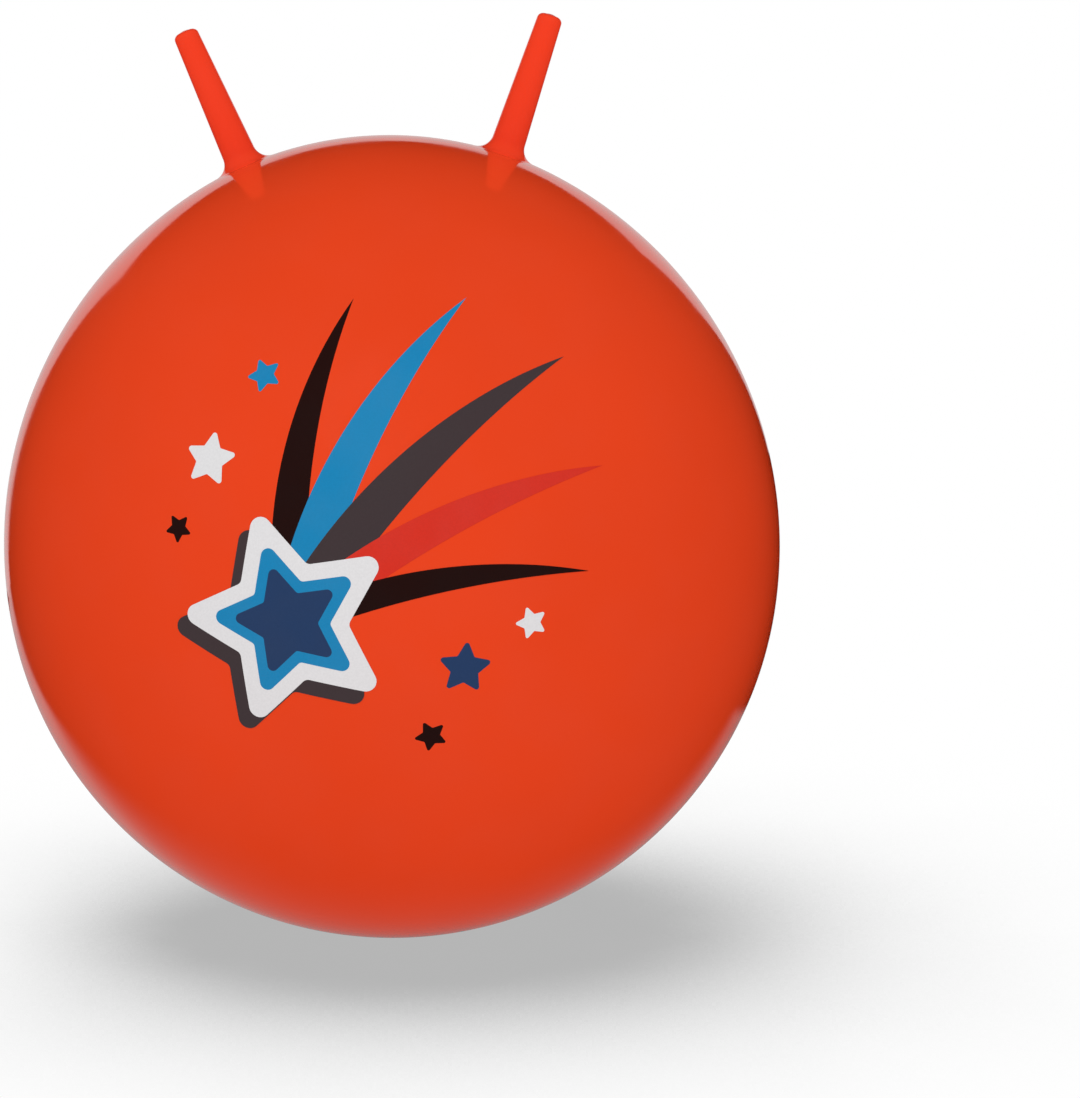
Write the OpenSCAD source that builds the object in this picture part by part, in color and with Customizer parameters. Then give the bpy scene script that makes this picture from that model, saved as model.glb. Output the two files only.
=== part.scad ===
// Hopper ball: a hollow ball of soft plastic with two hollow horns to hold, a valve seat welded into its
// back and a push-in plug. Millimetres, +Z up. The origin is the centre of the patch that it rests on.
// The horns lie in the XZ plane, the front of the ball faces -Y and the valve's axis is +Y.

/* [Ball] */
// Width of the ball across its belly
ball_d = 450; // [380:5:650]
// Height by which the crown stands above a true ball
crown_lift = 13; // [5:0.5:15]
// Depth by which the keel hangs below a true ball
keel_drop = 3; // [1:0.5:10]
// Length that the belly's upright arc has in radius beyond the ball's own
belly_relief = 18; // [16:1:40]
// Thickness of the skin of the blown-up ball
skin_wall = 1.2; // [0.8:0.1:3]
// Radius of the patch that goes flat under the ball's own weight
foot_r = 34; // [20:1:60]

/* [Horns] */
// Lean of each horn from upright
horn_lean = 21.2; // [12:0.2:30]
// Length of a horn above the crown
horn_length = 84.5; // [50:0.5:140]
// Diameter of a horn just above its root
horn_root_d = 19.4; // [14:0.2:30]
// Diameter of a horn where its end starts to round
horn_tip_d = 14.6; // [12:0.2:26]
// Radius of the rounding at the end of a horn
horn_tip_round = 4; // [1:0.5:5.5]
// Radius of the fillet at the root of a horn
horn_fillet = 9; // [5:1:25]
// Thickness of a horn's wall, which stretches less than the skin does
horn_wall = 2.2; // [1.2:0.1:4]

/* [Valve seat] */
// Bore that grips the plug
bore_d = 9.6; // [7:0.1:13]
// Wall of the neck round the bore
neck_wall = 4; // [2:0.1:6]
// Length of the neck behind the flange
neck_length = 14; // [8:0.5:24]
// Diameter of the dish that takes the plug's head
dish_d = 22; // [18:0.2:30]
// Reach of the thumbnail notch beyond the edge of the dish
notch_reach = 2; // [1:0.1:4]
// Radius of the thumbnail notch
notch_r = 4; // [2.5:0.1:6]
// Wall left between the notch and the edge of the rim
rim_wall = 1.6; // [1:0.1:4]
// Width of the flange beyond the rim, where it is welded to the inside of the skin
flange_lap = 8; // [4:0.5:16]
// Thickness of the flange at the valve's axis
flange_t = 4; // [3:0.1:8]
// Gap that the weld fills between the seat and the skin
weld_gap = 0.1; // [0.02:0.02:0.3]

/* [Plug] */
// Thickness of the plug's head at its middle
head_t = 2.2; // [1.6:0.1:3]
// Radius of the dome on the plug's head
head_dome_r = 45; // [30:1:120]
// Depth of the head's middle below the back of the ball
head_sink = 0.6; // [0.3:0.1:1.2]
// Gap between the plug's head and the edge of the dish
head_clearance = 1; // [0.3:0.1:2]
// Length of the plug's end that stands out of the neck
plug_reach = 3.6; // [1:0.2:8]
// Clearance between the plug's ribs and the bore, on the radius
plug_clearance = 0.1; // [0.05:0.01:0.4]
// Number of ribs round the shank
rib_count = 4; // [2:1:6]
// Depth of the grooves between the ribs
rib_depth = 0.6; // [0.3:0.1:1]
// Wall of the shank at the bottom of a groove
shank_wall = 1.8; // [1:0.1:2.4]
// Thickness of the closed end of the shank's hollow, under the face of the head
hollow_floor = 3; // [1.4:0.1:5]

/* [Hidden] */
$fn = 256;

ball_colour = [0.87, 0.25, 0.12];
horn_colour = [0.95, 0.26, 0.15];
seat_colour = [0.80, 0.22, 0.11];
plug_colour = [0.93, 0.93, 0.91];

// Arcs that run into each other overlap by this much, so that they cross at a clear angle.
arc_bite = 0.06;
fillet_bite = 0.02;
// A cutting solid runs this far past the face that it cuts.
overrun = 5;

// The half outline of the ball is three arcs, of the belly, the crown and the keel. The crown's centre lies
// above the belly's level, and the keel's below it, by the rise that makes its end stand out by lift.
belly_r = ball_d / 2 + belly_relief;
function end_rise(lift) = lift * (2 * belly_relief - lift) / (2 * (belly_relief - lift));
function end_radius(rise) = belly_r - norm([belly_relief, rise]);
crown_rise = end_rise(crown_lift);
crown_r = end_radius(crown_rise);
keel_rise = end_rise(keel_drop);
keel_r = end_radius(keel_rise);

// The keel is pressed flat over the foot, which sets the height of the belly.
belly_z = keel_rise + sqrt(pow(keel_r, 2) - pow(foot_r, 2));

// Each horn's axis is a radius of the crown, and its fillet leaves the crown on a cone about that axis.
root_r = horn_root_d / 2;
root_angle = asin((root_r + horn_fillet) / (crown_r + horn_fillet));

// Levels along the valve's axis, outward from the back of the ball.
dish_floor = -head_sink - head_t;
flange_back = -skin_wall - flange_t;
neck_end = flange_back - neck_length;
shank_end = neck_end - plug_reach;
rim_d = dish_d + 2 * (notch_reach + rim_wall);

// A point at an angle from the Y axis.
function polar(r, angle) = r * [sin(angle), cos(angle)];

// The area that one end of the ball's outline may fill: its own circle, and all that is nearer the belly.
module end_limit(rise, r) {
    reach = 2 * belly_r;
    belly_centre = [-belly_relief, 0];
    edge = belly_centre + polar(reach, atan2(belly_relief, rise));
    translate([0, rise]) circle(r + arc_bite);
    polygon([belly_centre, edge, [reach, edge.y], [reach, -reach], [-belly_relief, -reach]]);
}

// The ball's half outline, drawn in by inset, with the belly on the X axis.
module ball_outline(inset) {
    intersection() {
        translate([-belly_relief, 0]) circle(belly_r - inset);
        end_limit(crown_rise, crown_r - inset);
        mirror([0, 1]) end_limit(keel_rise, keel_r - inset);
        translate([0, inset - belly_z]) square([belly_r, 2 * belly_r]);
    }
}

module ball_solid(inset) {
    translate([0, 0, belly_z]) rotate_extrude() ball_outline(inset);
}

// Stands its child on the crown's centre, along the axis of the horn on that side.
module at_horn(side) {
    translate([0, 0, belly_z + crown_rise]) rotate([0, side * horn_lean, 0]) children();
}

// Half of a cone from the crown's centre, inside which a horn has its root.
module root_wedge() {
    reach = (crown_r + horn_length + overrun) / cos(root_angle);
    edge = polar(reach, root_angle);
    polygon([[0, 0], edge, [0, edge.y]]);
}

// Half of a horn's filled outline, drawn in by the two walls, with the crown's centre as its origin.
module horn_outline(ball_inset, horn_inset) {
    seat_r = crown_r - ball_inset;
    side_r = root_r - horn_inset;
    tip_r = horn_tip_d / 2 - horn_inset;
    tip_round = horn_tip_round * tip_r / (horn_tip_d / 2);
    round_y = crown_r + horn_length - horn_inset - tip_round;
    fillet = (seat_r * sin(root_angle) - side_r) / (1 - sin(root_angle)) + fillet_bite;
    fillet_c = polar(seat_r + fillet, root_angle);
    foot_y = seat_r - 2 * overrun - ball_inset;
    polygon([[0, foot_y], [side_r, foot_y], [side_r, fillet_c.y], [tip_r, round_y], [0, round_y]]);
    translate([0, round_y]) square([tip_r - tip_round, tip_round]);
    translate([tip_r - tip_round, round_y]) circle(tip_round);
    difference() {
        translate([0, foot_y]) square([fillet_c.x, fillet_c.y - foot_y]);
        translate(fillet_c) circle(fillet);
    }
}

// A horn with its flared root, open to the inside of the ball.
module horn(side) {
    at_horn(side)
        rotate_extrude()
            intersection() {
                difference() {
                    horn_outline(0, 0);
                    horn_outline(skin_wall, horn_wall);
                }
                root_wedge();
            }
}

// Local +Z is the valve's axis, pointing out of the back of the ball.
module at_valve() {
    translate([0, ball_d / 2, belly_z]) rotate([-90, 0, 0]) children();
}

// A round bar along the valve's axis between two levels.
module valve_bar(d, from, to) {
    at_valve() translate([0, 0, from]) cylinder(d = d, h = to - from);
}

// Half outline of the plug's shank below its head, with ribs that slope towards its end.
module shank_outline() {
    rib_r = bore_d / 2 - plug_clearance;
    groove_r = rib_r - rib_depth;
    length = dish_floor - shank_end;
    pitch = length / (rib_count + 1);
    ribs = [
        for (i = [1 : rib_count])
            each [[groove_r, rib_depth - i * pitch], [rib_r, -i * pitch], [groove_r, -(i + 0.5) * pitch]]
    ];
    collar = [[0, 0], [rib_r, 0], [rib_r, -pitch / 3]];
    end = [[groove_r, -length], [0, -length]];
    hollow_top = head_t - hollow_floor;
    difference() {
        polygon(concat(collar, ribs, end));
        translate([0, -length - overrun])
            square([groove_r - shank_wall, length + overrun + hollow_top]);
    }
}

module ball_skin() {
    color(ball_colour)
        difference() {
            ball_solid(0);
            ball_solid(skin_wall);
            for (side = [-1, 1]) at_horn(side) rotate_extrude() root_wedge();
            valve_bar(rim_d, flange_back, overrun);
        }
}

module left_horn() {
    color(horn_colour) horn(-1);
}

module right_horn() {
    color(horn_colour) horn(1);
}

module valve_seat() {
    color(seat_colour)
        difference() {
            union() {
                intersection() {
                    ball_solid(0);
                    valve_bar(rim_d - 2 * weld_gap, flange_back, overrun);
                }
                intersection() {
                    ball_solid(skin_wall + weld_gap);
                    valve_bar(rim_d + 2 * flange_lap, flange_back, overrun);
                }
                valve_bar(bore_d + 2 * neck_wall, neck_end, flange_back);
            }
            valve_bar(bore_d, neck_end - overrun, overrun);
            valve_bar(dish_d, dish_floor, overrun);
            at_valve()
                translate([dish_d / 2 + notch_reach - notch_r, 0, dish_floor])
                    cylinder(r = notch_r, h = overrun);
        }
}

module valve_plug() {
    color(plug_colour)
        at_valve()
            translate([0, 0, dish_floor]) {
                intersection() {
                    cylinder(d = dish_d - 2 * head_clearance, h = head_t + overrun);
                    translate([0, 0, head_t - head_dome_r]) sphere(head_dome_r);
                }
                rotate_extrude() shank_outline();
            }
}

ball_skin();
left_horn();
right_horn();
valve_seat();
valve_plug();
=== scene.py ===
from math import acos, asin, atan2, ceil, cos, hypot, pi, radians, sin, sqrt, tan, tau

import bmesh
import bpy
from mathutils import Matrix, Vector
from mathutils.geometry import delaunay_2d_cdt


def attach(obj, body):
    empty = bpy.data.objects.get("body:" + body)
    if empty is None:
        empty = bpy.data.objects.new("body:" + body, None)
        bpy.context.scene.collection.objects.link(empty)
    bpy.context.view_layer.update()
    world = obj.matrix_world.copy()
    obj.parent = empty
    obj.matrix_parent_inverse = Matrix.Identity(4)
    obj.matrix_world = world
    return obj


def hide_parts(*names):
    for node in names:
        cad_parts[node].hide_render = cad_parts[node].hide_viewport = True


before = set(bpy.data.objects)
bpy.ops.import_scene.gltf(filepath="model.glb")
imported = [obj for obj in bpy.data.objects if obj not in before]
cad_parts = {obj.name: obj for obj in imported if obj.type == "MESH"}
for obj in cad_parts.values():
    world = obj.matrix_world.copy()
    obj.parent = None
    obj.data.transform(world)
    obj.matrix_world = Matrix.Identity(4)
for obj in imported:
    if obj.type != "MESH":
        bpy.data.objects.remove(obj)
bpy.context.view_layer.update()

MM = 0.001

# The ball, in the sizes of its solid: an outline of three arcs, and a foot pressed flat.
BALL_R = 225 * MM
BELLY_RELIEF = 18 * MM
CROWN_LIFT = 13 * MM
KEEL_DROP = 3 * MM
SKIN_WALL = 1.2 * MM
FOOT_R = 34 * MM

# The horns, whose axes are radii of the crown.
HORN_LEAN = radians(21.2)
HORN_LENGTH = 84.5 * MM
HORN_ROOT_R = 9.7 * MM
HORN_TIP_R = 7.3 * MM
HORN_TIP_ROUND = 4 * MM
HORN_TIP_DOME = 0.5 * MM
HORN_FILLET = 9 * MM

# The valve, with levels counted outward from the back of the ball.
BORE_R = 4.8 * MM
NECK_R = 8.8 * MM
DISH_R = 11 * MM
NOTCH_R = 4 * MM
NOTCH_REACH = 2 * MM
RIM_R = 14.6 * MM
FLANGE_R = 22.6 * MM
WELD_GAP = 0.1 * MM
DISH_FLOOR = -2.8 * MM
FLANGE_BACK = -5.2 * MM
NECK_END = -19.2 * MM
SHANK_END = -22.8 * MM
HEAD_R = 10 * MM
HEAD_TOP = -0.6 * MM
HEAD_DOME_R = 45 * MM
RIB_R = 4.7 * MM
GROOVE_R = 4.1 * MM
HOLLOW_R = 2.3 * MM
HOLLOW_END = -3.6 * MM
RIB_COUNT = 4
SEAT_ROUND = 0.45 * MM
HEAD_ROUND = 0.5 * MM
HEAD_SEAT_GAP = 0.02 * MM

# Fineness of the meshes.
SKIN_COLUMNS = 240
SKIN_STEP = 5 * MM
CAP_STEP = 3.4 * MM
HORN_COLUMNS = 80
HORN_STEP = 2.5 * MM
COLLAR_STEPS = (0.4 * MM, 1 * MM, 1.8 * MM, 2.8 * MM)
VALVE_COLUMNS = 96
FILM_STEP = 5 * MM
EDGE_STEP = 2 * MM
SHARP_EDGE = radians(50)
SHARP_INK_EDGE = radians(40)

# The print: a shooting star, drawn about its own middle on the front of the ball.
PRINT_MIDDLE = Vector((-7, 28)) * MM
INK_FIRST = 0.06 * MM
INK_LAYER = 0.03 * MM
INK_ROOT = 0.15 * MM

# Photograph: its size, the place of the ball's middle in it, and the view of it.
PHOTO_W, PHOTO_H = 1080, 1098
BALL_PX = Vector((393.1, 545.2))
VIEW_DISTANCE = 2.5
VIEW_ELEVATION = radians(6)
VIEW_ROLL = radians(2.58)
FOCAL_PX = 4290
SENSOR_MM = 36

# Colours, linear, and the share of the root's angle over which the horn's colour sets in.
BALL_LIGHT = (0.865, 0.0625, 0.0143, 1)
BALL_DEEP = (0.835, 0.0597, 0.0132, 1)
HORN_COLOUR = (0.97, 0.058, 0.019, 1)
HORN_BLEND = 0.15
INKS = {
    "black": (0.020, 0.006, 0.005, 1),
    "charcoal": (0.060, 0.043, 0.046, 1),
    "white": (0.80, 0.81, 0.82, 1),
    "blue": (0.010, 0.25, 0.52, 1),
    "navy": (0.022, 0.053, 0.14, 1),
    "red": (0.72, 0.032, 0.016, 1),
}
SEAT_COLOUR = (0.62, 0.040, 0.010, 1)
PLUG_COLOUR = (0.78, 0.77, 0.74, 1)

# The floor: the light that it throws on the ball, and the ball's shadow on it. The shadow is darkest up to
# one share of open sky and ends at another. The sky is taken about two directions, leaning back and forward.
FLOOR_HALF = 6
FLOOR_LIGHT = 0.90
FLOOR_TINT = (1, 0.92, 0.92, 1)
FLOOR_SHADE = 0.465
SHADOW_CORE, SHADOW_EDGE = 0.713, 0.944
SHADOW_LEANS = radians(80), radians(-63)
SHADOW_SIDE = -0.12
SHADOW_REACH = 3
SHADOW_SAMPLES = 16

# A pale sheet that only the gloss shows on the floor, in the floor's own axes. Its sides are lines, each
# given by its X beside the ball and its slant to the left. Its front is a parabola with a soft edge, it ends
# at the card, and its brightness runs over a span from left to right.
SHEET_LEFT = -0.30, 0.375
SHEET_RIGHT = 0.49, 0.225
SHEET_SOFT = 0.02
SHEET_END_SOFT = 0.01
SHEET_BEND = 2.2
SHEET_FRONT = -0.15, 0.02
SHEET_SPAN = -0.6, 0.4
SHEET_LIGHT = 0.48, 0.20

# A card that stands behind the ball and that only the gloss shows, with its corners in X and Z.
CARD_DISTANCE = 1.4
CARD_LIGHT = 0.62
CARD_CORNERS = ((-0.86, 0), (-1.03, 1.06), (0.80, 0.93), (0.76, 0.62), (0.47, 0.18))

# The light: from all round, at the horizon and overhead, and from one large lamp.
AMBIENT, AMBIENT_TOP = 0.80, 0.60
KEY_SHARE = 0.25
KEY_SIZE = 1.6
KEY_DISTANCE = 3.0
KEY_ELEVATION = radians(40)
KEY_AZIMUTH = radians(-2)


def end_rise(lift):
    """Height from the belly's level to the centre of the end arc that stands out by lift."""
    return lift * (2 * BELLY_RELIEF - lift) / (2 * (BELLY_RELIEF - lift))


BELLY_R = BALL_R + BELLY_RELIEF
CROWN_RISE = end_rise(CROWN_LIFT)
KEEL_RISE = end_rise(KEEL_DROP)
CROWN_R = BELLY_R - hypot(BELLY_RELIEF, CROWN_RISE)
KEEL_R = BELLY_R - hypot(BELLY_RELIEF, KEEL_RISE)
BELLY_Z = KEEL_RISE + sqrt(KEEL_R**2 - FOOT_R**2)
CROWN_EDGE = atan2(BELLY_RELIEF, CROWN_RISE)
KEEL_EDGE = pi - atan2(BELLY_RELIEF, KEEL_RISE)
FOOT_EDGE = pi - asin(FOOT_R / KEEL_R)
ROOT_ANGLE = asin((HORN_ROOT_R + HORN_FILLET) / (CROWN_R + HORN_FILLET))
COLLAR_ANGLE = ROOT_ANGLE + COLLAR_STEPS[-1] / CROWN_R
BALL_MIDDLE = Vector((0, 0, BELLY_Z))
CROWN_MIDDLE = Vector((0, 0, BELLY_Z + CROWN_RISE))
VALVE_ORIGIN = Vector((0, BALL_R, BELLY_Z))


class Draft:
    """The points and faces of one mesh in the making."""

    def __init__(self):
        self.points = []
        self.faces = []

    def add(self, point):
        self.points.append(Vector(point))
        return len(self.points) - 1

    def ring(self, points):
        return [self.add(point) for point in points]

    def bridge(self, one, other):
        """Quads between two closed rings of the same count."""
        for i, start in enumerate(one):
            j = (i + 1) % len(one)
            self.faces.append((start, one[j], other[j], other[i]))

    def fan(self, ring, point):
        tip = self.add(point)
        for i, start in enumerate(ring):
            self.faces.append((start, ring[(i + 1) % len(ring)], tip))

    def fill(self, loops, inner, lift, keep):
        """Triangles between closed loops of (point, place on a plane), through the inner places."""
        flat = []
        known = []
        edges = []
        for loop in loops:
            first = len(flat)
            flat += [Vector(place) for _, place in loop]
            known += [point for point, _ in loop]
            edges += [(first + i, first + (i + 1) % len(loop)) for i in range(len(loop))]
        flat += [Vector(place) for place in inner]
        known += [self.add(lift(place)) for place in inner]
        places, _, triangles, origins, _, _ = delaunay_2d_cdt(flat, edges, [], 1, 1e-9)
        made = [
            known[origin[0]] if origin else self.add(lift(place))
            for place, origin in zip(places, origins)
        ]
        for triangle in triangles:
            if keep(sum((places[i] for i in triangle), Vector((0, 0))) / 3):
                self.faces.append(tuple(made[i] for i in triangle))

    def build(self, name, material, sharp=None):
        mesh = bpy.data.meshes.new(name)
        mesh.from_pydata(self.points, [], self.faces)
        work = bmesh.new()
        work.from_mesh(mesh)
        bmesh.ops.recalc_face_normals(work, faces=work.faces)
        work.to_mesh(mesh)
        work.free()
        mesh.shade_smooth()
        if sharp:
            mesh.set_sharp_from_angle(angle=sharp)
        mesh.materials.append(material)
        piece = bpy.data.objects.new(name, mesh)
        bpy.context.collection.objects.link(piece)
        return piece


def spread(start, end, step, length):
    """Even values from start to end, for steps of about the given length along the whole length."""
    count = max(1, ceil(length / step))
    return [start + (end - start) * i / count for i in range(count + 1)]


def hex_places(half, step):
    """Places on a grid of even triangles that covers a square about the origin."""
    rows = ceil(half / (step * sqrt(0.75)))
    columns = ceil(half / step)
    for row in range(-rows, rows + 1):
        for column in range(-columns, columns + 1):
            yield Vector(((column + row % 2 / 2) * step, row * step * sqrt(0.75)))


# The ball's skin


def meridian():
    """Radius and height of points down the ball's outline, from the crown's ring to the foot's."""
    belly = spread(CROWN_EDGE, KEEL_EDGE, SKIN_STEP, BELLY_R * (KEEL_EDGE - CROWN_EDGE))
    keel = spread(KEEL_EDGE, FOOT_EDGE, SKIN_STEP, KEEL_R * (FOOT_EDGE - KEEL_EDGE))
    points = [(BELLY_R * sin(a) - BELLY_RELIEF, BELLY_Z + BELLY_R * cos(a)) for a in belly]
    return points + [(KEEL_R * sin(a), BELLY_Z - KEEL_RISE + KEEL_R * cos(a)) for a in keel[1:]]


def on_ball(direction):
    """The point of the ball's outside in a direction from its middle, and the normal there."""
    rise = direction.normalized()
    across = hypot(rise.x, rise.y)
    crown_edge = atan2(CROWN_RISE + CROWN_R * cos(CROWN_EDGE), CROWN_R * sin(CROWN_EDGE))
    keel_edge = atan2(KEEL_R * cos(KEEL_EDGE) - KEEL_RISE, KEEL_R * sin(KEEL_EDGE))
    angle = atan2(rise.z, across)
    if angle > crown_edge:
        reach = CROWN_RISE * rise.z + sqrt(CROWN_R**2 - (CROWN_RISE * across) ** 2)
        middle = CROWN_MIDDLE
    elif angle < keel_edge:
        reach = -KEEL_RISE * rise.z + sqrt(KEEL_R**2 - (KEEL_RISE * across) ** 2)
        middle = BALL_MIDDLE - Vector((0, 0, KEEL_RISE))
    else:
        reach = sqrt(BELLY_R**2 - (BELLY_RELIEF * rise.z) ** 2) - BELLY_RELIEF * across
        middle = BALL_MIDDLE - Vector((rise.x, rise.y, 0)) * BELLY_RELIEF / across
    point = BALL_MIDDLE + rise * reach
    return point, (point - middle).normalized()


def on_back(x, z):
    """The point of the ball's back at a place across the valve's axis."""
    across = sqrt(BELLY_R**2 - z**2) - BELLY_RELIEF
    return Vector((x, sqrt(across**2 - x**2), BELLY_Z + z))


def horn_axes(side):
    """A horn's own axis and the two directions across it."""
    along = Vector((side * sin(HORN_LEAN), 0, cos(HORN_LEAN)))
    return along, Vector((cos(HORN_LEAN), 0, -side * sin(HORN_LEAN))), Vector((0, 1, 0))


def horn_ring(side, radius, height):
    along, across, back = horn_axes(side)
    turns = [tau * i / HORN_COLUMNS for i in range(HORN_COLUMNS)]
    return [CROWN_MIDDLE + along * height + (across * cos(t) + back * sin(t)) * radius for t in turns]


def horn_profile():
    """Radius and height above the crown's centre of points up a horn, from its root to its end."""
    fillet_x = HORN_ROOT_R + HORN_FILLET
    fillet_y = fillet_x / sin(ROOT_ANGLE) * cos(ROOT_ANGLE)
    sweep = pi / 2 - ROOT_ANGLE
    points = [
        (fillet_x - HORN_FILLET * cos(a), fillet_y - HORN_FILLET * sin(a))
        for a in spread(sweep, 0, HORN_STEP / 3, HORN_FILLET * sweep)
    ]
    round_y = CROWN_R + HORN_LENGTH - HORN_TIP_ROUND
    points += [
        (HORN_ROOT_R + (HORN_TIP_R - HORN_ROOT_R) * part, fillet_y + (round_y - fillet_y) * part)
        for part in spread(0, 1, HORN_STEP, round_y - fillet_y)[1:]
    ]
    flat_r = HORN_TIP_R - HORN_TIP_ROUND
    side_round = HORN_TIP_ROUND - HORN_TIP_DOME
    points += [
        (flat_r + HORN_TIP_ROUND * cos(a), round_y + side_round * sin(a))
        for a in spread(0, pi / 2, 1, 10)[1:]
    ]
    dome = spread(1, 0, 1, 4)[1:-1]
    return points + [(flat_r * part, round_y + side_round + HORN_TIP_DOME * (1 - part**2)) for part in dome]


def crown_place(point):
    """Place of a point of the crown on a plane: its distance from the crown's top, along the skin."""
    ray = (point - CROWN_MIDDLE).normalized()
    return Vector((ray.x, ray.y)).normalized() * acos(ray.z) * CROWN_R


def crown_ray(place):
    angle = place.length / CROWN_R
    flat = place.normalized() * sin(angle)
    return Vector((flat.x, flat.y, cos(angle)))


def clear_of_horns(place, margin):
    ray = crown_ray(place)
    return all(ray.angle(horn_axes(side)[0]) > COLLAR_ANGLE + margin / CROWN_R for side in (-1, 1))


def add_horn(draft, side, root):
    """Rings up a horn from its root, which the crown shares, and the end of the horn."""
    below = root
    for radius, height in horn_profile()[1:]:
        above = draft.ring(horn_ring(side, radius, height))
        draft.bridge(below, above)
        below = above
    along = horn_axes(side)[0]
    draft.fan(below, CROWN_MIDDLE + along * (CROWN_R + HORN_LENGTH))


def add_crown(draft, edge):
    """The crown inside its edge, and the horns that stand on it."""
    loops = [[(i, crown_place(draft.points[i])) for i in edge]]
    for side in (-1, 1):
        collar = [
            draft.ring(horn_ring(side, CROWN_R * sin(angle), CROWN_R * cos(angle)))
            for angle in (ROOT_ANGLE + step / CROWN_R for step in (0,) + COLLAR_STEPS)
        ]
        for one, other in zip(collar, collar[1:]):
            draft.bridge(one, other)
        loops.append([(i, crown_place(draft.points[i])) for i in collar[-1]])
        add_horn(draft, side, collar[0])
    reach = CROWN_R * CROWN_EDGE
    margin = CAP_STEP * 0.6
    inner = [
        place for place in hex_places(reach, CAP_STEP)
        if place.length < reach - margin and clear_of_horns(place, margin)
    ]
    draft.fill(
        loops, inner,
        lambda place: CROWN_MIDDLE + crown_ray(place) * CROWN_R,
        lambda place: clear_of_horns(place, 0),
    )


def add_belly(draft):
    """Rows of quads from the crown to the foot, with a hole at the back for the valve's seat."""
    turns = [tau * i / SKIN_COLUMNS for i in range(SKIN_COLUMNS)]
    rows = []
    for radius, height in meridian():
        rows.append(draft.ring((radius * cos(t), radius * sin(t), height) for t in turns))
    reach = RIM_R + 2 * SKIN_STEP
    high = max(k for k, row in enumerate(rows) if draft.points[row[0]].z > BELLY_Z + reach)
    low = min(k for k, row in enumerate(rows) if draft.points[row[0]].z < BELLY_Z - reach)
    half = ceil(reach / (BALL_R * tau / SKIN_COLUMNS))
    first = SKIN_COLUMNS // 4 - half
    last = SKIN_COLUMNS // 4 + half
    for k, (upper, lower) in enumerate(zip(rows, rows[1:])):
        for i, corner in enumerate(upper):
            j = (i + 1) % SKIN_COLUMNS
            if not (high <= k < low and first <= i < last):
                draft.faces.append((corner, upper[j], lower[j], lower[i]))
    border = rows[high][first:last] + [rows[k][last] for k in range(high, low)]
    border += rows[low][last:first:-1] + [rows[k][first] for k in range(low, high, -1)]
    add_valve_patch(draft, border)
    return rows[0], rows[-1]


def add_valve_patch(draft, border):
    """Skin between a border of the rows and the round hole for the seat."""
    turns = [tau * i / VALVE_COLUMNS for i in range(VALVE_COLUMNS)]
    hole = draft.ring(on_back(RIM_R * cos(t), RIM_R * sin(t)) for t in turns)

    def place_of(i):
        return draft.points[i].x, draft.points[i].z - BELLY_Z

    loops = [[(i, place_of(i)) for i in loop] for loop in (border, hole)]
    box = [place_of(i) for i in border]
    half_x = min(abs(x) for x, z in box if abs(z) < SKIN_STEP)
    half_z = min(abs(z) for x, z in box if abs(x) < SKIN_STEP)
    margin = SKIN_STEP * 0.4
    inner = [
        place for place in hex_places(2 * RIM_R, SKIN_STEP * 0.6)
        if place.length > RIM_R + margin
        and abs(place.x) < half_x - margin and abs(place.y) < half_z - margin
    ]
    draft.fill(loops, inner, lambda place: on_back(place.x, place.y), lambda place: place.length > RIM_R)


def add_foot(draft, edge):
    """The flat foot, as rings inside its edge."""
    outer = edge
    for radius in spread(FOOT_R, 0, SKIN_STEP, FOOT_R)[1:-1]:
        inner = draft.ring(draft.points[i] * (radius / FOOT_R) for i in edge)
        draft.bridge(outer, inner)
        outer = inner
    draft.fan(outer, (0, 0, 0))


def add_wall(piece):
    """Gives a surface the skin's thickness, with crisp edges round its holes."""
    wall = piece.modifiers.new("wall", "SOLIDIFY")
    wall.thickness = SKIN_WALL
    wall.offset = -1
    solid = piece.evaluated_get(bpy.context.evaluated_depsgraph_get())
    mesh = bpy.data.meshes.new_from_object(solid)
    piece.modifiers.clear()
    mesh.set_sharp_from_angle(angle=SHARP_EDGE)
    piece.data = mesh


def make_skin(material):
    draft = Draft()
    crown_edge, foot_edge = add_belly(draft)
    add_crown(draft, crown_edge)
    add_foot(draft, foot_edge)
    skin = draft.build("ball_skin_and_horns", material)
    add_wall(skin)
    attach(skin, "ball")
    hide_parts("ball_skin", "left_horn", "right_horn")


# The print


def rounded(corners, radii):
    """An outline through corners, each cut by an arc of its radius."""
    outline = []
    for i, corner in enumerate(corners):
        before = (corners[i - 1] - corner).normalized()
        after = (corners[(i + 1) % len(corners)] - corner).normalized()
        half = before.angle(after) / 2
        middle = corner + (before + after).normalized() * radii[i] / sin(half)
        start = corner + before * radii[i] / tan(half) - middle
        turn = (pi - 2 * half) * (-1 if before.cross(after) > 0 else 1)
        steps = 8
        outline += [middle + Matrix.Rotation(turn * k / steps, 2) @ start for k in range(steps + 1)]
    return outline


def star(middle, reach, tilt, points=5, depth=0.5, tip=0.09, dip=0.06):
    """A star with soft corners: its depth, tip and dip are shares of its reach."""
    corners = []
    for k in range(2 * points):
        angle = tilt + pi / 2 + k * pi / points
        radius = reach * (depth if k % 2 else 1)
        corners.append(Vector((cos(angle), sin(angle))) * radius)
    radii = [reach * (dip if k % 2 else tip) for k in range(2 * points)]
    return [middle + place for place in rounded(corners, radii)]


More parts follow.
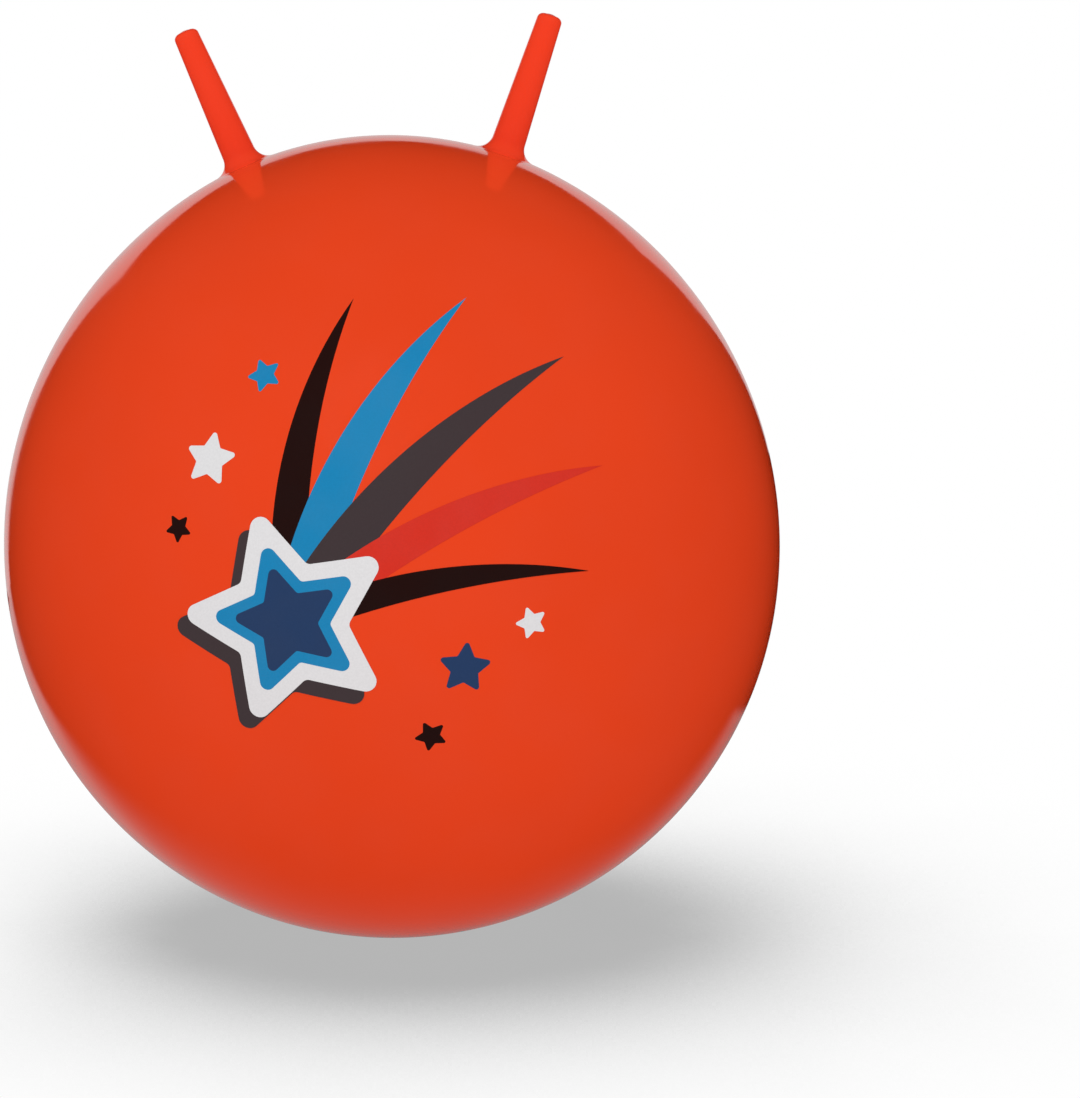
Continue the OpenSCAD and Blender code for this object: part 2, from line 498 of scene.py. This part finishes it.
def trail(start, bend, end, width):
    """A ribbon along a curve, which swells a little and then runs out to a point."""
    count = 60
    sides = ([], [])
    for k in range(count):
        part = k / count
        middle = start * (1 - part) ** 2 + bend * 2 * part * (1 - part) + end * part**2
        ahead = ((bend - start) * (1 - part) + (end - bend) * part).normalized()
        half = width / 2 * (1 - part) * (1 + 1.3 * part)
        across = Vector((-ahead.y, ahead.x)) * half
        sides[0].append(middle + across)
        sides[1].append(middle - across)
    return sides[0] + [end] + sides[1][::-1]


def refined(outline, step):
    """The outline with points added along its long edges."""
    finer = []
    for i, place in enumerate(outline):
        onward = outline[(i + 1) % len(outline)] - place
        pieces = max(1, ceil(onward.length / step))
        finer += [place + onward * k / pieces for k in range(pieces)]
    return finer


def inside(outline, place):
    """Whether a place lies inside an outline, by the edges that a ray from it crosses."""
    crossed = False
    for one, other in zip(outline, outline[1:] + outline[:1]):
        if (one.y > place.y) != (other.y > place.y):
            at = one.x + (place.y - one.y) / (other.y - one.y) * (other.x - one.x)
            crossed ^= place.x < at
    return crossed


def on_front(place, lift):
    """A place of the print laid on the front of the ball, at a height above the skin."""
    away = place + PRINT_MIDDLE
    angle = away.length / BALL_R
    flat = away.normalized() * sin(angle)
    point, normal = on_ball(Vector((flat.x, -cos(angle), flat.y)))
    return point + normal * lift


def add_film(draft, outline, layer):
    """A closed film of ink: its face, and a rim that goes down into what it lies on."""
    outline = refined(outline, EDGE_STEP)
    height = INK_FIRST + INK_LAYER * layer
    top = draft.ring(on_front(place, height) for place in outline)
    foot = draft.ring(on_front(place, -INK_ROOT) for place in outline)
    draft.bridge(top, foot)
    xs = [place.x for place in outline]
    ys = [place.y for place in outline]
    middle = Vector((max(xs) + min(xs), max(ys) + min(ys))) / 2
    half = max(max(xs) - min(xs), max(ys) - min(ys)) / 2
    clear = FILM_STEP * 0.4
    grid = [middle + place for place in hex_places(half, FILM_STEP)]
    inner = [
        place for place in grid
        if inside(outline, place) and min((place - edge).length for edge in outline) > clear
    ]
    for rim, lift in ((top, height), (foot, -INK_ROOT)):
        draft.fill(
            [list(zip(rim, outline))], inner,
            lambda place, lift=lift: on_front(place, lift),
            lambda place: True,
        )


def print_films():
    """The films of the print: the ink, the layer and the outline of each."""
    lead = Vector((-44, -44)) * MM
    reach = 66 * MM
    tilt = radians(14)
    films = []
    tails = (
        ("black", 84, 184, 19),
        ("blue", 66, 208, 23),
        ("charcoal", 48, 216, 23),
        ("red", 30, 196, 20),
        ("black", 13, 168, 15),
    )
    for layer, (ink, angle, length, width) in enumerate(tails):
        way = [Vector((cos(radians(angle + turn)), sin(radians(angle + turn)))) for turn in (0, 5, -7)]
        ends = [lead + way[k] * length * share * MM for k, share in enumerate((0.1, 0.55, 1))]
        films.append((ink, layer, trail(*ends, width * MM)))
    top = len(tails)
    shade = lead + Vector((-7, -7)) * MM
    films.append(("charcoal", top, star(shade, reach, tilt)))
    films.append(("white", top + 1, star(lead, reach, tilt)))
    films.append(("blue", top + 2, star(lead, reach * 0.70, tilt)))
    films.append(("navy", top + 3, star(lead, reach * 0.50, tilt)))
    for ink, x, y, size, lean in (
        ("white", -86, 46, 17, -12),
        ("blue", -54, 92, 11, 20),
        ("black", -106, 8, 9, 30),
        ("navy", 50, -74, 16, -8),
        ("white", 88, -52, 10, 16),
        ("black", 30, -112, 10, 24),
    ):
        films.append((ink, 0, star(Vector((x, y)) * MM, size * MM, radians(lean))))
    return films


def make_print():
    films = print_films()
    for ink, colour in INKS.items():
        draft = Draft()
        for _, layer, outline in (film for film in films if film[0] == ink):
            add_film(draft, outline, layer)
        piece = draft.build("print_" + ink, ink_film(ink, colour), sharp=SHARP_INK_EDGE)
        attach(piece, "ball")


# The valve


def valve_point(radius, turn, level):
    """A point about the valve's axis, at a level counted from the back of the ball."""
    return VALVE_ORIGIN + Vector((radius * cos(turn), level, radius * sin(turn)))


def dish_edge(turn):
    """Radius of the dish at an angle, with the thumbnail notch on its +X side."""
    middle = DISH_R + NOTCH_REACH - NOTCH_R
    under = NOTCH_R**2 - (middle * sin(turn)) ** 2
    notch = middle * cos(turn) + sqrt(under) if under > 0 and cos(turn) > 0 else 0
    return max(DISH_R, notch)


def flush(radius, turn, depth):
    """A point below the back of the ball, measured along the valve's axis."""
    return on_back(radius * cos(turn), radius * sin(turn)) - Vector((0, depth, 0))


def arc(steps=4):
    """Sine and cosine of even steps through a quarter turn."""
    return [(sin(pi / 2 * k / steps), cos(pi / 2 * k / steps)) for k in range(steps + 1)]


def seat_rows(turn):
    """Points round the seat's section at an angle, from the flange's edge over the rim and down the bore."""
    rim = RIM_R - WELD_GAP
    under = SKIN_WALL + WELD_GAP
    dish = dish_edge(turn)
    soft = SEAT_ROUND
    points = [valve_point(FLANGE_R, turn, FLANGE_BACK), flush(FLANGE_R, turn, under + soft)]
    points += [flush(FLANGE_R - soft * (1 - c), turn, under + soft * (1 - s)) for s, c in arc()]
    points += [flush(rim, turn, under)]
    points += [flush(rim - soft * (1 - c), turn, soft * (1 - s)) for s, c in arc()]
    points += [flush(dish + soft * (1 - s), turn, soft * (1 - c)) for s, c in arc()]
    points += [valve_point(dish - soft * (1 - c), turn, DISH_FLOOR + soft * (1 - s)) for s, c in arc()]
    points += [valve_point(BORE_R + soft * (1 - s), turn, DISH_FLOOR - soft * (1 - c)) for s, c in arc()]
    points += [valve_point(BORE_R, turn, NECK_END)]
    points += [valve_point(NECK_R - soft * (1 - s), turn, NECK_END + soft * (1 - c)) for s, c in arc()]
    points += [valve_point(NECK_R, turn, FLANGE_BACK)]
    return points


def plug_rows(turn):
    """Points down the plug's section at an angle, from the middle of its head to the hollow in its end."""
    edge = HEAD_TOP - (HEAD_DOME_R - sqrt(HEAD_DOME_R**2 - HEAD_R**2))
    base = DISH_FLOOR + HEAD_SEAT_GAP
    dome = spread(0, HEAD_R - HEAD_ROUND, 1, 6)[1:]
    profile = [(r, HEAD_TOP - (HEAD_DOME_R - sqrt(HEAD_DOME_R**2 - r**2))) for r in dome]
    profile += [(HEAD_R - HEAD_ROUND * (1 - s), edge - HEAD_ROUND * (1 - c)) for s, c in arc()]
    profile += [(HEAD_R, base), (RIB_R, base)]
    pitch = (DISH_FLOOR - SHANK_END) / (RIB_COUNT + 1)
    profile += [(RIB_R, DISH_FLOOR - pitch / 3)]
    for k in range(1, RIB_COUNT + 1):
        level = DISH_FLOOR - k * pitch
        profile += [(GROOVE_R, level + RIB_R - GROOVE_R), (RIB_R, level), (GROOVE_R, level - pitch / 2)]
    profile += [(GROOVE_R - SEAT_ROUND * (1 - c), SHANK_END + SEAT_ROUND * (1 - s)) for s, c in arc()]
    profile += [(HOLLOW_R, SHANK_END), (HOLLOW_R, HOLLOW_END)]
    return [valve_point(radius, turn, level) for radius, level in profile]


def turned(rows_at):
    """A draft of the surface that a section sweeps round the valve's axis, and its rings."""
    draft = Draft()
    columns = [rows_at(tau * i / VALVE_COLUMNS) for i in range(VALVE_COLUMNS)]
    rings = [draft.ring(points) for points in zip(*columns)]
    for one, other in zip(rings, rings[1:]):
        draft.bridge(one, other)
    return draft, rings


def make_seat(material):
    draft, rings = turned(seat_rows)
    draft.bridge(rings[-1], rings[0])
    seat = draft.build("valve_seat_insert", material, sharp=SHARP_EDGE)
    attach(seat, "ball")
    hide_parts("valve_seat")


def make_plug(material):
    draft, rings = turned(plug_rows)
    draft.fan(rings[0], VALVE_ORIGIN + Vector((0, HEAD_TOP, 0)))
    draft.fan(rings[-1], VALVE_ORIGIN + Vector((0, HOLLOW_END, 0)))
    plug = draft.build("valve_plug_stopper", material, sharp=SHARP_EDGE)
    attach(plug, "plug")
    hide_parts("valve_plug")


# Materials


def feed(tree, socket, value):
    """Sets a node's input to a constant or to another node's output."""
    if isinstance(value, bpy.types.NodeSocket):
        tree.links.new(value, socket)
    else:
        socket.default_value = value


def node(tree, kind, settings=None, **inputs):
    """A shader node with its settings, and its inputs as constants or as other nodes' outputs."""
    made = tree.nodes.new("ShaderNode" + kind)
    for key, value in (settings or {}).items():
        setattr(made, key, value)
    for key, value in inputs.items():
        feed(tree, made.inputs[key.replace("_", " ")], value)
    return made


def blank_material(name):
    """A new material, its node tree and shader, and the place on the piece that it colours."""
    material = bpy.data.materials.new(name)
    material.use_nodes = True
    tree = material.node_tree
    where = node(tree, "TexCoord").outputs["Object"]
    return material, tree, tree.nodes["Principled BSDF"], where


def deeper(colour, share):
    """A colour at a share of its brightness."""
    return tuple(c * share for c in colour[:3]) + (1,)


def noise(tree, where, scale, detail=3):
    made = node(tree, "TexNoise", Vector=where, Scale=scale, Detail=detail)
    return made.outputs["Fac"]


def ranged(tree, value, low, high, start=0.3, end=0.7):
    """A value spread from the range start to end onto the range low to high."""
    made = node(
        tree, "MapRange", {"interpolation_type": "SMOOTHSTEP"},
        Value=value, From_Min=start, From_Max=end, To_Min=low, To_Max=high,
    )
    return made.outputs["Result"]


def mixed(tree, share, one, other):
    """A colour between two others."""
    made = node(tree, "Mix", {"data_type": "RGBA"})
    for index, value in ((0, share), (6, one), (7, other)):
        feed(tree, made.inputs[index], value)
    return made.outputs[2]


def mixed_value(tree, share, one, other):
    """A number between two others."""
    made = node(tree, "Mix", {"data_type": "FLOAT"})
    for index, value in ((0, share), (2, one), (3, other)):
        feed(tree, made.inputs[index], value)
    return made.outputs[0]


def combined(tree, operation, one, other):
    """The result of a sum on two numbers."""
    made = node(tree, "Math", {"operation": operation})
    feed(tree, made.inputs[0], one)
    feed(tree, made.inputs[1], other)
    return made.outputs["Value"]


def times(tree, one, other):
    return combined(tree, "MULTIPLY", one, other)


def bumped(tree, height, strength, distance):
    made = node(tree, "Bump", Height=height, Strength=strength, Distance=distance)
    return made.outputs["Normal"]


def vector_sum(tree, operation, one, other=None):
    """The result of a sum on vectors: the first is another node's output, the second is constant."""
    made = node(tree, "VectorMath", {"operation": operation})
    feed(tree, made.inputs[0], one)
    if other:
        feed(tree, made.inputs[1], other)
    return made.outputs["Value" if operation == "DOT_PRODUCT" else "Vector"]


def on_horn(tree, where):
    """How far a place lies inside a horn's root, by its angle from the horn's axis at the crown's centre."""
    mirrored = vector_sum(tree, "ABSOLUTE", where)
    ray = vector_sum(tree, "NORMALIZE", vector_sum(tree, "SUBTRACT", mirrored, CROWN_MIDDLE))
    nearness = vector_sum(tree, "DOT_PRODUCT", ray, horn_axes(1)[0])
    start, end = (cos(ROOT_ANGLE * (1 + blend)) for blend in (HORN_BLEND, -HORN_BLEND))
    return ranged(tree, nearness, 0, 1, start, end)


def orange_peel(tree, where):
    """The faint waviness of the skin, which the ink on it shares."""
    return bumped(tree, noise(tree, where, 380, 2), 0.06, 0.2 * MM)


def soft_pvc():
    """Glossy soft plastic: a little cloudy in colour, with orange peel, and redder up the horns."""
    material, tree, shader, where = blank_material("soft_pvc")
    cloud = ranged(tree, noise(tree, where, 7), 0, 1)
    skin = mixed(tree, cloud, BALL_DEEP, BALL_LIGHT)
    tree.links.new(mixed(tree, on_horn(tree, where), skin, HORN_COLOUR), shader.inputs["Base Color"])
    gloss = ranged(tree, noise(tree, where, 24, 5), 0.07, 0.13)
    tree.links.new(gloss, shader.inputs["Roughness"])
    tree.links.new(orange_peel(tree, where), shader.inputs["Normal"])
    shader.inputs["IOR"].default_value = 1.53
    return material


def ink_film(name, colour):
    """Screen ink on soft plastic: nearly even, with a faint grain and the gloss of the skin."""
    material, tree, shader, where = blank_material("ink_" + name)
    grain = ranged(tree, noise(tree, where, 900, 4), 0, 1)
    tree.links.new(mixed(tree, grain, deeper(colour, 0.95), colour), shader.inputs["Base Color"])
    tree.links.new(ranged(tree, noise(tree, where, 40, 4), 0.16, 0.26), shader.inputs["Roughness"])
    tree.links.new(orange_peel(tree, where), shader.inputs["Normal"])
    shader.inputs["IOR"].default_value = 1.5
    return material


def seat_pvc():
    """Thick satin plastic of the valve's seat."""
    material, tree, shader, where = blank_material("seat_pvc")
    cloud = ranged(tree, noise(tree, where, 90, 3), 0, 1)
    tree.links.new(mixed(tree, cloud, deeper(SEAT_COLOUR, 0.85), SEAT_COLOUR), shader.inputs["Base Color"])
    tree.links.new(ranged(tree, noise(tree, where, 300, 3), 0.3, 0.42), shader.inputs["Roughness"])
    tree.links.new(bumped(tree, noise(tree, where, 1500, 2), 0.15, 0.1 * MM), shader.inputs["Normal"])
    return material


def plug_plastic():
    """Firm off-white plastic with a fine spark-eroded grain."""
    material, tree, shader, where = blank_material("plug_plastic")
    cloud = ranged(tree, noise(tree, where, 120, 3), 0, 1)
    tree.links.new(mixed(tree, cloud, deeper(PLUG_COLOUR, 0.93), PLUG_COLOUR), shader.inputs["Base Color"])
    tree.links.new(ranged(tree, noise(tree, where, 500, 3), 0.32, 0.45), shader.inputs["Roughness"])
    tree.links.new(bumped(tree, noise(tree, where, 2200, 2), 0.2, 0.08 * MM), shader.inputs["Normal"])
    return material


# Stage


def make_camera():
    """The photograph's view, with the ball's middle at its place in the picture."""
    ahead = Vector((0, cos(VIEW_ELEVATION), -sin(VIEW_ELEVATION)))
    level = Vector((1, 0, 0))
    upright = level.cross(ahead)
    right = level * cos(VIEW_ROLL) - upright * sin(VIEW_ROLL)
    up = upright * cos(VIEW_ROLL) + level * sin(VIEW_ROLL)
    off = (Vector((PHOTO_W, PHOTO_H)) / 2 - BALL_PX) * VIEW_DISTANCE / FOCAL_PX
    place = BALL_MIDDLE + right * off.x - up * off.y - ahead * VIEW_DISTANCE
    data = bpy.data.cameras.new("camera")
    data.sensor_fit = "HORIZONTAL"
    data.sensor_width = SENSOR_MM
    data.lens = FOCAL_PX / PHOTO_W * SENSOR_MM
    camera = bpy.data.objects.new("camera", data)
    camera.matrix_world = Matrix.Translation(place) @ Matrix((right, up, -ahead)).transposed().to_4x4()
    bpy.context.collection.objects.link(camera)
    bpy.context.scene.camera = camera


def sheet_side(tree, x, y, line, low, high):
    """A value that steps from low to high across a slanting line on the floor."""
    place, slant = line
    across = combined(tree, "ADD", x, times(tree, y, slant))
    return ranged(tree, across, low, high, place - SHEET_SOFT, place + SHEET_SOFT)


def sheet_in_gloss(tree):
    """How bright a place of the floor is in the gloss: a pale sheet behind the ball, darker to the right."""
    place = node(tree, "SeparateXYZ", Vector=node(tree, "TexCoord").outputs["Object"])
    x, y = place.outputs["X"], place.outputs["Y"]
    bend = times(tree, times(tree, x, x), SHEET_BEND)
    behind = ranged(tree, combined(tree, "SUBTRACT", y, bend), 0, 1, *SHEET_FRONT)
    near = ranged(tree, y, 1, 0, CARD_DISTANCE - SHEET_END_SOFT, CARD_DISTANCE + SHEET_END_SOFT)
    left = sheet_side(tree, x, y, SHEET_LEFT, 0, 1)
    right = sheet_side(tree, x, y, SHEET_RIGHT, 1, 0)
    level = node(
        tree, "MapRange", Value=x, From_Min=SHEET_SPAN[0], From_Max=SHEET_SPAN[1],
        To_Min=SHEET_LIGHT[0], To_Max=SHEET_LIGHT[1],
    )
    patch = times(tree, times(tree, behind, near), times(tree, left, right))
    return times(tree, patch, level.outputs["Result"])


def glowing(name, make_glow):
    """A material that shines by itself and isn't sampled as a lamp."""
    material = bpy.data.materials.new(name)
    material.use_nodes = True
    material.cycles.emission_sampling = "NONE"
    tree = material.node_tree
    tree.nodes.clear()
    out = node(tree, "OutputMaterial")
    tree.links.new(make_glow(tree).outputs["Emission"], out.inputs["Surface"])
    return material


def opening(tree, lean):
    """How open a place of the floor is to the sky about a direction that leans to the back."""
    toward = node(tree, "CombineXYZ", X=SHADOW_SIDE, Y=sin(lean), Z=cos(lean)).outputs["Vector"]
    made = node(
        tree, "AmbientOcclusion", {"samples": SHADOW_SAMPLES}, Distance=SHADOW_REACH, Normal=toward,
    )
    return made.outputs["AO"]


def floor_glow(tree):
    """Pale floor: white in the open, grey where the ball hides the sky, and the sheet in the gloss."""
    openness = mixed_value(tree, 0.5, *(opening(tree, lean) for lean in SHADOW_LEANS))
    shade = ranged(tree, openness, FLOOR_SHADE, 1, SHADOW_CORE, SHADOW_EDGE)
    path = node(tree, "LightPath")
    share = mixed_value(tree, path.outputs["Is Glossy Ray"], FLOOR_LIGHT, sheet_in_gloss(tree))
    shown = mixed_value(tree, path.outputs["Is Camera Ray"], share, shade)
    tint = mixed(tree, path.outputs["Is Diffuse Ray"], (1, 1, 1, 1), FLOOR_TINT)
    return node(tree, "Emission", Color=tint, Strength=shown)


def make_floor():
    """The floor, which leans about the edge of the ball's foot so that it is level in the rolled view."""
    draft = Draft()
    corners = [(x * FLOOR_HALF, y * FLOOR_HALF, 0) for x, y in ((-1, -1), (1, -1), (1, 1), (-1, 1))]
    draft.faces.append(tuple(draft.ring(corners)))
    floor = draft.build("floor", glowing("floor", floor_glow))
    floor.matrix_world = Matrix.Translation((-FOOT_R, 0, 0)) @ Matrix.Rotation(VIEW_ROLL, 4, "Y")


def card_glow(tree):
    return node(tree, "Emission", Strength=CARD_LIGHT)


def make_card():
    """A white card behind the ball, which its gloss shows."""
    draft = Draft()
    draft.faces.append(tuple(draft.ring((x, CARD_DISTANCE, z) for x, z in CARD_CORNERS)))
    card = draft.build("card", glowing("card", card_glow))
    card.visible_camera = False
    card.visible_diffuse = False
    card.visible_shadow = False


def make_world():
    """White behind the object, soft light on it that is weaker from above, and a dark room in its gloss."""
    world = bpy.data.worlds.new("studio")
    bpy.context.scene.world = world
    world.use_nodes = True
    world.cycles_visibility.glossy = False
    tree = world.node_tree
    tree.nodes.clear()
    path = node(tree, "LightPath")
    toward = node(tree, "SeparateXYZ", Vector=node(tree, "TexCoord").outputs["Generated"])
    height = node(
        tree, "MapRange", Value=toward.outputs["Z"], From_Min=0, From_Max=1,
        To_Min=AMBIENT, To_Max=AMBIENT_TOP,
    )
    shown = mixed_value(tree, path.outputs["Is Camera Ray"], height.outputs["Result"], 1)
    light = node(tree, "Background", Color=(1, 1, 1, 1), Strength=shown)
    out = node(tree, "OutputWorld")
    tree.links.new(light.outputs[0], out.inputs["Surface"])


def make_key():
    """A large soft lamp in front of the ball and above it, which the gloss doesn't show."""
    data = bpy.data.lights.new("key", "AREA")
    data.shape = "DISK"
    data.size = KEY_SIZE
    data.energy = KEY_SHARE * (pi * KEY_DISTANCE) ** 2
    lamp = bpy.data.objects.new("key", data)
    side = Vector((sin(KEY_AZIMUTH), -cos(KEY_AZIMUTH), 0))
    toward = side * cos(KEY_ELEVATION) + Vector((0, 0, sin(KEY_ELEVATION)))
    lamp.location = BALL_MIDDLE + toward * KEY_DISTANCE
    lamp.rotation_euler = toward.to_track_quat("Z", "Y").to_euler()
    lamp.visible_glossy = False
    lamp.visible_camera = False
    bpy.context.collection.objects.link(lamp)


make_camera()
make_skin(soft_pvc())
make_print()
make_seat(seat_pvc())
make_plug(plug_plastic())
make_floor()
make_card()
make_world()
make_key()

bpy.context.scene.view_settings.view_transform = "Standard"
